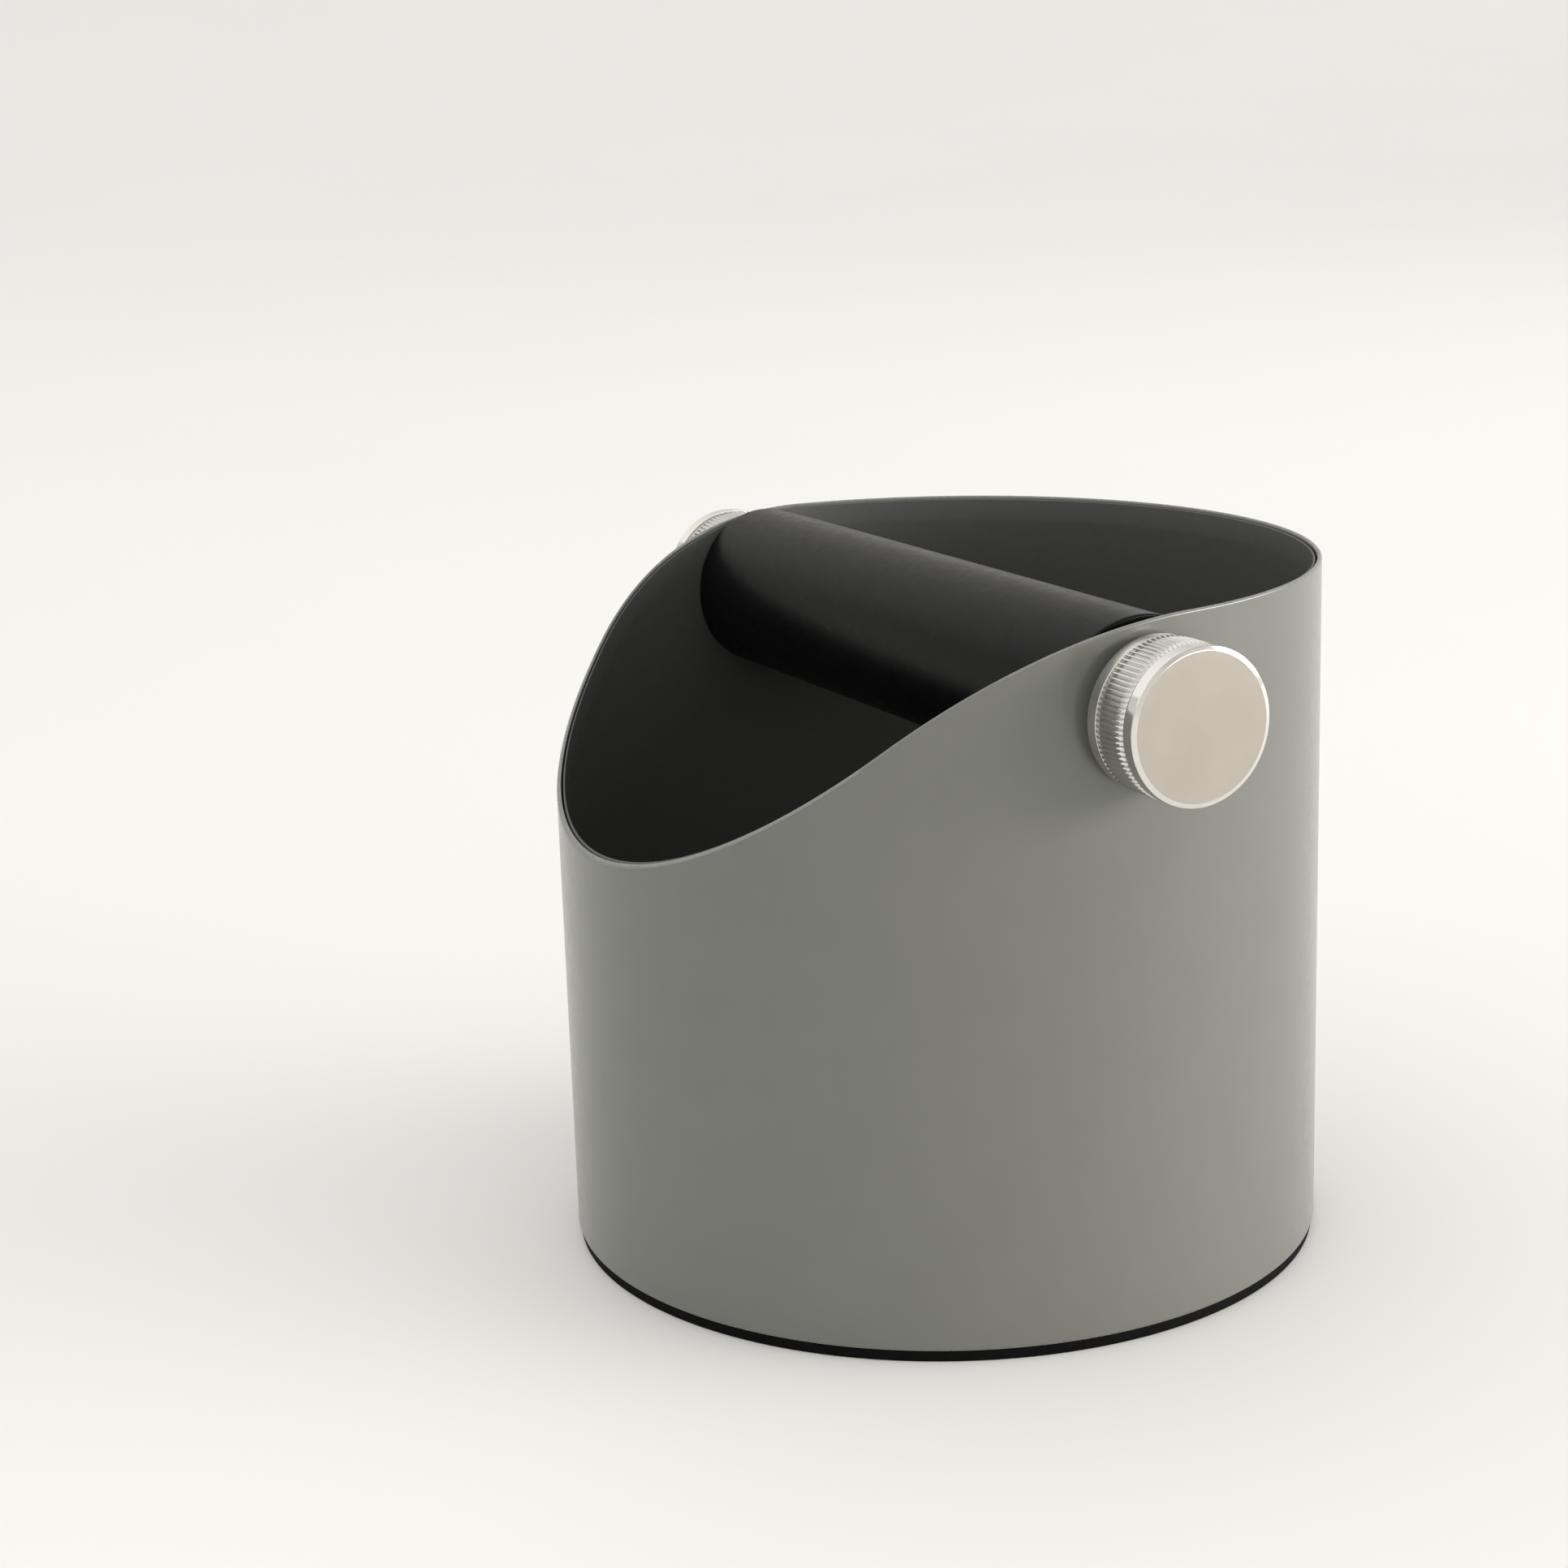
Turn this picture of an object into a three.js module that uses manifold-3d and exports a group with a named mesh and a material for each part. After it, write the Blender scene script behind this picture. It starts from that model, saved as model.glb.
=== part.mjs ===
// Knock box for espresso grounds: a round bin with a padded bar across its mouth, and a knurled
// knob outside each end of the bar.
// Millimetres, +Z up. The origin is on the bench under the middle of the bin, the low front edge
// faces -Y, and the bar lies along X. Right is +X.

import * as THREE from "three";
import { mergeVertices } from "three/addons/utils/BufferGeometryUtils.js";
import Module from "manifold-3d";

const wasm = await Module();
wasm.setup();

// ---- Clearances ----

const GAP = 0.3;               // between pieces that touch or are pushed together
const STUD_HOLE_PLAY = 0.5;    // round the stud, in the shell and in the bucket

// ---- Bin ----

const SHELL_RADIUS = 75;
const SHELL_WALL = 0.9;
const SHELL_BASE_Z = 2.2;      // height of the shell's lower edge, which shows the foot below it
const BUCKET_WALL = 0.9;
const BUCKET_FLOOR_WALL = 1;
const BUCKET_CORNER_RADIUS = 6;
const BUCKET_RIM_DROP = 0.6;   // how far the bucket stops below the shell's edge

// ---- Rim, seen from the side: level at the back, then an arc, then a straight slope ----

const RIM_HEIGHT = 135.35;
const RIM_LEVEL_END = 9.4;     // behind the middle, where the level edge starts to fall
const RIM_ARC_RADIUS = 79.4;
const RIM_SLOPE_DEGREES = 42.8;

// ---- Base ----

const FOOT_INSET = 0.5;        // the foot ring's edge lies this far inside the shell's
const FOOT_RING_WIDTH = 15;
const BASE_PLATE_THICKNESS = 2;
const BASE_SCREW_CIRCLE_RADIUS = 50;
const BASE_SCREW_COUNT = 4;
const BASE_SCREW_RADIUS = 1.5;
const BASE_SCREW_LENGTH = 5;
const BASE_SCREW_HEAD_RADIUS = 2.8;
const BASE_SCREW_HEAD_HEIGHT = 1.3;
const BASE_SCREW_HEAD_FLAT = 0.15;
const BASE_SCREW_SOCKET_RADIUS = 1.15;
const BASE_SCREW_SOCKET_DEPTH = 1;
const BOSS_RADIUS = 4;
const BOSS_HEIGHT = 3.5;

// ---- Knock bar ----

const BAR_RADIUS = 16.6;
const BAR_TOP_DROP = 0;        // how far the bar's top lies below the level part of the rim
const CORE_RADIUS = 10;
const CORE_WALL = 1.5;
const PLUG_LENGTH = 12;
const CORE_END_DEPTH = 1.5;    // how far inside the sleeve's ends the core stops

// ---- Stud and knob ----

const STUD_RADIUS = 4;
const STUD_ENGAGEMENT = 7.5;   // length of thread inside the plug, six turns of a 1.25 mm pitch
const STUD_DEPTH_IN_KNOB = 8;
const STUD_CHAMFER = 0.6;
const KNOB_STANDOFF = 1.7;     // from the shell's widest point to the back of the knob
const KNOB_BACK_RADIUS = 14.4;
const KNOB_BACK_LENGTH = 2.8;
const KNURL_CREST_RADIUS = 14.15;
const KNURL_DEPTH = 0.5;
const KNURL_LENGTH = 8;
const KNURL_RIB_COUNT = 48;
const GROOVE_RADIUS = 13.2;
const GROOVE_LENGTH = 0.85;
const KNOB_CAP_RADIUS = 14.2;
const KNOB_CAP_LENGTH = 2.95;
const KNOB_BEVEL = 0.9;
const KNOB_EDGE_BREAK = 0.3;   // small chamfer on the other edges of the knob
const WASHER_RADIUS = 9;
const WASHER_SEAT_DEPTH = 1;   // the recess in the back of the knob

// ---- Facets ----

const LARGE_FACETS = 72;
const KNOB_FACETS = 48;
const SMALL_FACETS = 20;
const RIM_ARC_STEPS = 6;
const CORNER_ARC_STEPS = 1;
const MARGIN = 4;              // how far a cutting solid runs past what it cuts

// ---- Sizes that follow from those ----

const shellInnerRadius = SHELL_RADIUS - SHELL_WALL;
const bucketRadius = shellInnerRadius - GAP;
const bucketInnerRadius = bucketRadius - BUCKET_WALL;
const footRadius = SHELL_RADIUS - FOOT_INSET;
const footHeight = SHELL_BASE_Z - GAP;
const plateTopZ = SHELL_BASE_Z + BASE_PLATE_THICKNESS;
const bucketBottomZ = plateTopZ + GAP + BOSS_HEIGHT;
const rawWallTopZ = RIM_HEIGHT + MARGIN / 2;
const barAxisZ = RIM_HEIGHT - BAR_TOP_DROP - BAR_RADIUS;
const studHoleRadius = STUD_RADIUS + STUD_HOLE_PLAY;
const sleeveEndRadius = bucketInnerRadius - GAP;
const coreHalfLength = Math.sqrt(sleeveEndRadius ** 2 - CORE_RADIUS ** 2) - CORE_END_DEPTH;
const coreBoreRadius = CORE_RADIUS - CORE_WALL;
const knobBackX = SHELL_RADIUS + KNOB_STANDOFF;
const knobLength = KNOB_BACK_LENGTH + KNURL_LENGTH + GROOVE_LENGTH + KNOB_CAP_LENGTH;
const studStartX = coreHalfLength - STUD_ENGAGEMENT;
const studLength = knobBackX + STUD_DEPTH_IN_KNOB - studStartX;
const washerTopX = knobBackX + WASHER_SEAT_DEPTH - GAP;

// ---- Materials ----

function material(color, roughness, metalness) {
  return new THREE.MeshStandardMaterial({ color, roughness, metalness });
}

const greyPaint = material(0x8d8d87, 0.45, 0.2);
const blackCoat = material(0x26282a, 0.6, 0.1);
const blackRubber = material(0x161616, 0.75, 0);
const blackPlastic = material(0x202020, 0.55, 0);
const plainSteel = material(0xb4b4b0, 0.35, 1);
const polishedSteel = material(0xd2ccc2, 0.18, 1);

// ---- Making and cutting solids ----

// The solid inside a closed surface, with shared corners merged and empty triangles left out.
function solidOf(geometry) {
  const bare = geometry.clone();
  bare.deleteAttribute("normal");
  bare.deleteAttribute("uv");
  const merged = mergeVertices(bare);
  const indices = merged.index.array;
  const kept = [];
  for (let i = 0; i < indices.length; i += 3) {
    const [a, b, c] = indices.slice(i, i + 3);
    if (a !== b && b !== c && c !== a) kept.push(a, b, c);
  }
  const vertProperties = merged.attributes.position.array;
  return new wasm.Manifold(new wasm.Mesh({ numProp: 3, vertProperties, triVerts: Uint32Array.from(kept) }));
}

function meshOf(name, solid, meshMaterial) {
  const { vertProperties, triVerts } = solid.getMesh();
  const geometry = new THREE.BufferGeometry();
  geometry.setAttribute("position", new THREE.BufferAttribute(vertProperties, 3));
  geometry.setIndex(new THREE.BufferAttribute(triVerts, 1));
  geometry.computeVertexNormals();
  const mesh = new THREE.Mesh(geometry, meshMaterial);
  mesh.name = name;
  return mesh;
}

// A surface turned about Z. The profile's points are (radius, height), anticlockwise with
// radius to the right and height up.
function turnedGeometry(profile, facets) {
  return new THREE.LatheGeometry(profile, facets).rotateX(Math.PI / 2);
}

const turned = (profile, facets) => solidOf(turnedGeometry(profile, facets));

// The same about X, with heights counted along +X.
const turnedAlongX = (profile, facets) => solidOf(turnedGeometry(profile, facets).rotateY(Math.PI / 2));

const corners = (...pairs) => pairs.map(([radius, height]) => new THREE.Vector2(radius, height));

const rodProfile = (radius, low, high) => corners([0, low], [radius, low], [radius, high], [0, high]);

function tubeProfile(inner, outer, low, high) {
  return corners([inner, low], [outer, low], [outer, high], [inner, high], [inner, low]);
}

// Everything above the rim line, lowered by drop, as one solid that runs right across the bin.
function aboveRim(drop) {
  const slope = THREE.MathUtils.degToRad(RIM_SLOPE_DEGREES);
  const levelZ = RIM_HEIGHT - drop;
  const arcEndFront = RIM_ARC_RADIUS * Math.sin(slope) - RIM_LEVEL_END;
  const arcEndZ = levelZ - RIM_ARC_RADIUS * (1 - Math.cos(slope));
  const front = SHELL_RADIUS + MARGIN;
  const top = RIM_HEIGHT + MARGIN;
  const outline = new THREE.Shape();
  outline.moveTo(-front, top);
  outline.lineTo(-front, levelZ);
  outline.lineTo(-RIM_LEVEL_END, levelZ);
  outline.absarc(
    -RIM_LEVEL_END, levelZ - RIM_ARC_RADIUS, RIM_ARC_RADIUS,
    Math.PI / 2, Math.PI / 2 - slope, true,
  );
  outline.lineTo(front, arcEndZ - (front - arcEndFront) * Math.tan(slope));
  outline.lineTo(front, top);
  outline.closePath();
  const geometry = new THREE.ExtrudeGeometry(outline, {
    depth: 2 * front,
    bevelEnabled: false,
    curveSegments: RIM_ARC_STEPS,
  });
  // The outline's first axis points to the front, its second up, and the depth runs to the left.
  geometry.translate(0, 0, -front);
  geometry.applyMatrix4(new THREE.Matrix4().makeBasis(
    new THREE.Vector3(0, -1, 0),
    new THREE.Vector3(0, 0, 1),
    new THREE.Vector3(-1, 0, 0),
  ));
  return solidOf(geometry);
}

// A rod along the bar's axis that cuts both stud holes at once.
function studHoleCutter() {
  const reach = SHELL_RADIUS + MARGIN;
  return turnedAlongX(rodProfile(studHoleRadius, -reach, reach), SMALL_FACETS).translate([0, 0, barAxisZ]);
}

function screwCentres() {
  const centres = [];
  for (let i = 0; i < BASE_SCREW_COUNT; i += 1) {
    const angle = ((i + 0.5) / BASE_SCREW_COUNT) * 2 * Math.PI;
    centres.push([BASE_SCREW_CIRCLE_RADIUS * Math.cos(angle), BASE_SCREW_CIRCLE_RADIUS * Math.sin(angle)]);
  }
  return centres;
}

// ---- Bin ----

function makeOuterShell() {
  const tube = turned(tubeProfile(shellInnerRadius, SHELL_RADIUS, SHELL_BASE_Z, rawWallTopZ), LARGE_FACETS);
  return meshOf("outer_shell", tube.subtract(aboveRim(0)).subtract(studHoleCutter()), greyPaint);
}

// The bucket's wall and floor, with a round corner between them inside and out.
function bucketProfile() {
  const floorTopZ = bucketBottomZ + BUCKET_FLOOR_WALL;
  const innerCorner = BUCKET_CORNER_RADIUS - BUCKET_WALL;
  const path = new THREE.Path();
  path.moveTo(0, bucketBottomZ);
  path.lineTo(bucketRadius - BUCKET_CORNER_RADIUS, bucketBottomZ);
  path.absarc(
    bucketRadius - BUCKET_CORNER_RADIUS, bucketBottomZ + BUCKET_CORNER_RADIUS,
    BUCKET_CORNER_RADIUS, -Math.PI / 2, 0, false,
  );
  path.lineTo(bucketRadius, rawWallTopZ);
  path.lineTo(bucketInnerRadius, rawWallTopZ);
  path.absarc(bucketInnerRadius - innerCorner, floorTopZ + innerCorner, innerCorner, 0, -Math.PI / 2, true);
  path.lineTo(0, floorTopZ);
  return path.getPoints(CORNER_ARC_STEPS);
}

// Screw bosses stand under the floor, and the base plate lies just below them.
function makeInnerBucket() {
  let bucket = turned(bucketProfile(), LARGE_FACETS).subtract(aboveRim(BUCKET_RIM_DROP));
  bucket = bucket.subtract(studHoleCutter());
  const bossTopZ = bucketBottomZ + BUCKET_FLOOR_WALL / 2;
  const holeDepthZ = bucketBottomZ - GAP;
  const boss = turned(rodProfile(BOSS_RADIUS, plateTopZ + GAP, bossTopZ), SMALL_FACETS);
  const hole = turned(rodProfile(BASE_SCREW_RADIUS + GAP, plateTopZ, holeDepthZ), SMALL_FACETS);
  for (const [x, y] of screwCentres()) {
    bucket = bucket.add(boss.translate([x, y, 0])).subtract(hole.translate([x, y, 0]));
  }
  return meshOf("inner_bucket", bucket, blackCoat);
}

// ---- Base ----

function makeFootRing() {
  const ring = turned(tubeProfile(footRadius - FOOT_RING_WIDTH, footRadius, 0, footHeight), LARGE_FACETS);
  return meshOf("foot_ring", ring, blackRubber);
}

// The profile of a countersunk screw standing on its head, grown by extra all round.
function screwProfile(extra, low, high) {
  const head = BASE_SCREW_HEAD_RADIUS + extra;
  const shank = BASE_SCREW_RADIUS + extra;
  return corners(
    [0, low], [head, low], [head, BASE_SCREW_HEAD_FLAT],
    [shank, BASE_SCREW_HEAD_HEIGHT], [shank, high], [0, high],
  );
}

function makeBasePlate() {
  const disc = turned(rodProfile(shellInnerRadius - GAP, SHELL_BASE_Z, plateTopZ), LARGE_FACETS);
  const countersink = turned(screwProfile(GAP, -MARGIN, BASE_PLATE_THICKNESS + MARGIN), SMALL_FACETS);
  let plate = disc;
  for (const [x, y] of screwCentres()) {
    plate = plate.subtract(countersink.translate([x, y, SHELL_BASE_Z]));
  }
  return meshOf("base_plate", plate, blackPlastic);
}

function makeBaseScrews() {
  const socket = new THREE.CylinderGeometry(
    BASE_SCREW_SOCKET_RADIUS, BASE_SCREW_SOCKET_RADIUS, 2 * BASE_SCREW_SOCKET_DEPTH, 6,
  ).rotateX(Math.PI / 2);
  const screw = turned(screwProfile(0, 0, BASE_SCREW_LENGTH), SMALL_FACETS).subtract(solidOf(socket));
  return screwCentres().map(([x, y], i) => {
    const mesh = meshOf(`base_screw_${i + 1}`, screw, plainSteel);
    mesh.position.set(x, y, SHELL_BASE_Z);
    return mesh;
  });
}

// ---- Knock bar, made about its own axis ----

function makeBarCore() {
  const tube = tubeProfile(coreBoreRadius, CORE_RADIUS, -coreHalfLength, coreHalfLength);
  return meshOf("bar_core", turnedAlongX(tube, SMALL_FACETS), plainSteel);
}

// The sleeve's two ends are hollowed to sit on the round wall of the bucket.
function makeBarSleeve() {
  const tube = turnedAlongX(tubeProfile(CORE_RADIUS + GAP, BAR_RADIUS, -SHELL_RADIUS, SHELL_RADIUS), KNOB_FACETS);
  const inside = turned(rodProfile(sleeveEndRadius, -SHELL_RADIUS, SHELL_RADIUS), LARGE_FACETS);
  return meshOf("bar_sleeve", tube.intersect(inside), blackRubber);
}

// ---- One end of the bar, with the wall of the bin towards +X ----

function makePlug(side) {
  const innerEnd = coreHalfLength - PLUG_LENGTH;
  const tube = tubeProfile(STUD_RADIUS + GAP, coreBoreRadius - GAP, innerEnd, coreHalfLength);
  return meshOf(`bar_plug_${side}`, turnedAlongX(tube, SMALL_FACETS), plainSteel);
}

// The washer's inner face follows the shell, and its outer face sits in the knob's recess.
function makeWasher(side) {
  const tube = tubeProfile(studHoleRadius, WASHER_RADIUS, shellInnerRadius - MARGIN, washerTopX);
  const shell = turned(rodProfile(SHELL_RADIUS + GAP, -SHELL_RADIUS, SHELL_RADIUS), LARGE_FACETS);
  return meshOf(`washer_${side}`, turnedAlongX(tube, KNOB_FACETS).subtract(shell), blackPlastic);
}

function makeStud(side) {
  const profile = corners(
    [0, 0], [STUD_RADIUS - STUD_CHAMFER, 0], [STUD_RADIUS, STUD_CHAMFER],
    [STUD_RADIUS, studLength], [0, studLength],
  );
  const mesh = meshOf(`stud_${side}`, turnedAlongX(profile, SMALL_FACETS), plainSteel);
  mesh.position.x = studStartX;
  return mesh;
}

// Straight ribs round the knob, as one star-shaped ring along X.
function knurlSolid(length) {
  const points = [];
  for (let i = 0; i < 2 * KNURL_RIB_COUNT; i += 1) {
    const angle = (i / KNURL_RIB_COUNT) * Math.PI;
    const radius = KNURL_CREST_RADIUS - (i % 2) * KNURL_DEPTH;
    points.push(new THREE.Vector2(radius * Math.cos(angle), radius * Math.sin(angle)));
  }
  const geometry = new THREE.ExtrudeGeometry(new THREE.Shape(points), { depth: length, bevelEnabled: false });
  return solidOf(geometry.rotateY(Math.PI / 2));
}

// The knob's back face is at zero and its flat front face at knobLength.
function makeKnob(side) {
  const knurlStart = KNOB_BACK_LENGTH;
  const grooveStart = knurlStart + KNURL_LENGTH;
  const capStart = grooveStart + GROOVE_LENGTH;
  const profile = corners(
    [0, 0],
    [KNOB_BACK_RADIUS - KNOB_EDGE_BREAK, 0],
    [KNOB_BACK_RADIUS, KNOB_EDGE_BREAK],
    [KNOB_BACK_RADIUS, knurlStart],
    [GROOVE_RADIUS, knurlStart],
    [GROOVE_RADIUS, capStart],
    [KNOB_CAP_RADIUS - KNOB_EDGE_BREAK, capStart],
    [KNOB_CAP_RADIUS, capStart + KNOB_EDGE_BREAK],
    [KNOB_CAP_RADIUS, knobLength - KNOB_BEVEL / 2],
    [KNOB_CAP_RADIUS - KNOB_BEVEL, knobLength],
    [0, knobLength],
  );
  const seat = turnedAlongX(rodProfile(WASHER_RADIUS + GAP, -MARGIN, WASHER_SEAT_DEPTH), KNOB_FACETS);
  const bore = turnedAlongX(rodProfile(STUD_RADIUS + GAP, -MARGIN, STUD_DEPTH_IN_KNOB + GAP), SMALL_FACETS);
  const knurlOverlap = KNOB_BACK_LENGTH / 2;
  const knurl = knurlSolid(KNURL_LENGTH + knurlOverlap).translate([knurlStart - knurlOverlap, 0, 0]);
  const knob = turnedAlongX(profile, KNOB_FACETS).add(knurl).subtract(seat).subtract(bore);
  const mesh = meshOf(`knob_${side}`, knob, polishedSteel);
  mesh.position.x = knobBackX;
  return mesh;
}

// ---- Assembly ----

function makeBarEnd(side) {
  const end = new THREE.Group();
  end.add(makePlug(side), makeWasher(side), makeStud(side), makeKnob(side));
  if (side === "left") end.rotation.z = Math.PI;
  return end;
}

const knockBar = new THREE.Group();
knockBar.position.z = barAxisZ;
knockBar.add(makeBarCore(), makeBarSleeve(), makeBarEnd("right"), makeBarEnd("left"));

const knockBox = new THREE.Group();
knockBox.add(makeOuterShell(), makeInnerBucket(), makeFootRing(), makeBasePlate());
knockBox.add(...makeBaseScrews(), knockBar);

export default knockBox;
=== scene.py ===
# The looks of a coffee knock box: a painted bin with a wave-cut rim, a black bucket inside it, and a
# rubber-covered knock bar held by a knurled steel knob at each end. Metres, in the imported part's frame.

import math

import bmesh
import bpy
from mathutils import Matrix, Vector


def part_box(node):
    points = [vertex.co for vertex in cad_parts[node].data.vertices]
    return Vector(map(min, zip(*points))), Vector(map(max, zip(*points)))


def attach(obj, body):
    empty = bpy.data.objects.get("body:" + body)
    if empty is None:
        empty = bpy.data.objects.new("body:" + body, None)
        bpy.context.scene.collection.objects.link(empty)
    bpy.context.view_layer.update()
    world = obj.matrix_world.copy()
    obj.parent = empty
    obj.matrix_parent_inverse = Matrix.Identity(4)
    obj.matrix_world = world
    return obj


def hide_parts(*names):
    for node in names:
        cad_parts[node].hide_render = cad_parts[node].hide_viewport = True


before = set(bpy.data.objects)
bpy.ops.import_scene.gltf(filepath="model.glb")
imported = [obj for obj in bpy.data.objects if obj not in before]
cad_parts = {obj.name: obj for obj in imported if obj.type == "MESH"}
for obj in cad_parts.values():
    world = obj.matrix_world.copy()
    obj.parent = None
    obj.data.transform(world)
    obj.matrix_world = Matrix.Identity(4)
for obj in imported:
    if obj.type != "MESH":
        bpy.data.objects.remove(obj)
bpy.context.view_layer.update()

MM = 0.001

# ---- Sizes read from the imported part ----


def middle(node):
    low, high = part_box(node)
    return (low + high) / 2


def extent(node):
    low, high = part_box(node)
    return high - low


SHELL_RADIUS = extent("outer_shell").y / 2
SHELL_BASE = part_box("outer_shell")[0].z
RIM_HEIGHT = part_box("outer_shell")[1].z
BUCKET_RADIUS = extent("inner_bucket").y / 2
BAR_AXIS = middle("bar_sleeve").z
BAR_RADIUS = extent("bar_sleeve").z / 2
FOOT_RADIUS = extent("foot_ring").y / 2
WASHER_RADIUS = extent("washer_right").y / 2
WASHER_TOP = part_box("washer_right")[1].x
STUD_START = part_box("stud_right")[0].x
STUD_LENGTH = extent("stud_right").x
STUD_RADIUS = extent("stud_right").z / 2
KNOB_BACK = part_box("knob_right")[0].x
KNOB_LENGTH = extent("knob_right").x
SCREW_NODES = [f"base_screw_{number}" for number in (1, 2, 3, 4)]

# ---- Sizes that a box doesn't show ----

SHELL_WALL = 0.9 * MM
BUCKET_WALL = 0.9 * MM
BUCKET_FLOOR_WALL = 1.0 * MM
BUCKET_FLOOR = SHELL_BASE + 5.8 * MM
BUCKET_CORNER = 6.0 * MM
BUCKET_RIM_DROP = 0.6 * MM
BUCKET_TAPER = 4.0 * MM
BUCKET_EDGE = 0.44 * MM
RIM_LEVEL_END = 9.4 * MM
RIM_ARC_RADIUS = 79.4 * MM
RIM_SLOPE = math.radians(42.8)
STUD_HOLE_RADIUS = 4.5 * MM
GAP = 0.3 * MM
SLEEVE_GAP = 0.1 * MM
SLEEVE_BORE_RADIUS = 10.3 * MM
FOOT_WIDTH = 15.0 * MM
THREAD_PITCH = 1.25 * MM
THREAD_DEPTH = 0.6 * MM

# ---- Mesh making ----

ROUND_COLUMNS = 288
BAR_COLUMNS = 192
FILLET_STEPS = 4
FILLET_HOLD = 1.5
SHARP_DEGREES = 32
ON_AXIS = 1e-7
SLIVER = 0.0001 * MM


def finish_mesh(name, bm, sharp_degrees=SHARP_DEGREES):
    """Turns a bmesh into an object with outward faces, smooth except over sharp edges."""
    bmesh.ops.recalc_face_normals(bm, faces=bm.faces)
    mesh = bpy.data.meshes.new(name)
    bm.to_mesh(mesh)
    bm.free()
    mesh.shade_smooth()
    mesh.set_sharp_from_angle(angle=math.radians(sharp_degrees))
    piece = bpy.data.objects.new(name, mesh)
    bpy.context.scene.collection.objects.link(piece)
    return piece


def skin(rings, closed):
    """Joins rings of points into a surface. A ring of one point is a pole. Closed joins last to first."""
    bm = bmesh.new()
    loops = [[bm.verts.new(point) for point in ring] for ring in rings]
    if closed:
        loops.append(loops[0])
    for lower, upper in zip(loops, loops[1:]):
        count = max(len(lower), len(upper))
        for i in range(count):
            j = (i + 1) % count
            if len(lower) == 1:
                bm.faces.new((lower[0], upper[j], upper[i]))
            elif len(upper) == 1:
                bm.faces.new((lower[i], lower[j], upper[0]))
            else:
                bm.faces.new((lower[i], lower[j], upper[j], upper[i]))
    return bm


def angles(columns):
    """Even angles round a full turn."""
    return [2 * math.pi * i / columns for i in range(columns)]


def rounded(corners, closed):
    """The outline through corners (radius, height, fillet), each corner replaced by an arc between two
    holding points that keep the flats flat."""
    outline = []
    count = len(corners)
    for i, (radius, height, fillet) in enumerate(corners):
        here = Vector((radius, height))
        if fillet == 0 or (not closed and i in (0, count - 1)):
            outline.append(here)
            continue
        to_last = (Vector(corners[i - 1][:2]) - here).normalized()
        to_next = (Vector(corners[(i + 1) % count][:2]) - here).normalized()
        half = to_last.angle(to_next) / 2
        reach = fillet / math.tan(half)
        centre = here + (to_last + to_next).normalized() * (fillet / math.sin(half))
        start = here + to_last * reach - centre
        end = here + to_next * reach - centre
        turn = start.angle_signed(end)
        outline.append(here + to_last * reach * FILLET_HOLD)
        for step in range(FILLET_STEPS + 1):
            angle = -turn * step / FILLET_STEPS
            outline.append(centre + Matrix.Rotation(angle, 2) @ start)
        outline.append(here + to_next * reach * FILLET_HOLD)
    return outline


def around_z(radius, height, angle):
    """A point about the bin's axis."""
    return Vector((radius * math.cos(angle), radius * math.sin(angle), height))


def around_bar(radius, height, angle):
    """A point about the bar's axis, with heights counted along X."""
    return Vector((height, radius * math.cos(angle), BAR_AXIS + radius * math.sin(angle)))


def turned(outline, columns, place, closed):
    """The outline of (radius, height) turned about the axis that place goes round."""
    rings = []
    for radius, height in outline:
        if radius < ON_AXIS:
            rings.append([place(0, height, 0)])
        else:
            rings.append([place(radius, height, angle) for angle in angles(columns)])
    return skin(rings, closed)


def turn_to_left(piece, name):
    """A copy turned half round about Z, for the other end of the bar."""
    mesh = piece.data.copy()
    mesh.name = name
    mesh.transform(Matrix.Rotation(math.pi, 4, "Z"))
    copy = bpy.data.objects.new(name, mesh)
    bpy.context.scene.collection.objects.link(copy)
    return copy


def cut_away(piece, tool):
    """Cuts tool out of piece, removes tool, and drops the faces of no area that the cut leaves."""
    modifier = piece.modifiers.new("cut", "BOOLEAN")
    modifier.operation = "DIFFERENCE"
    modifier.solver = "EXACT"
    modifier.object = tool
    depsgraph = bpy.context.evaluated_depsgraph_get()
    mesh = bpy.data.meshes.new_from_object(piece.evaluated_get(depsgraph))
    bm = bmesh.new()
    bm.from_mesh(mesh)
    bmesh.ops.dissolve_degenerate(bm, dist=SLIVER, edges=bm.edges)
    bm.to_mesh(mesh)
    bm.free()
    piece.modifiers.clear()
    old = piece.data
    piece.data = mesh
    mesh.name = piece.name
    bpy.data.meshes.remove(old)
    bpy.data.objects.remove(tool)
    mesh.shade_smooth()
    mesh.set_sharp_from_angle(angle=math.radians(SHARP_DEGREES))


# ---- Materials ----


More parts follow.
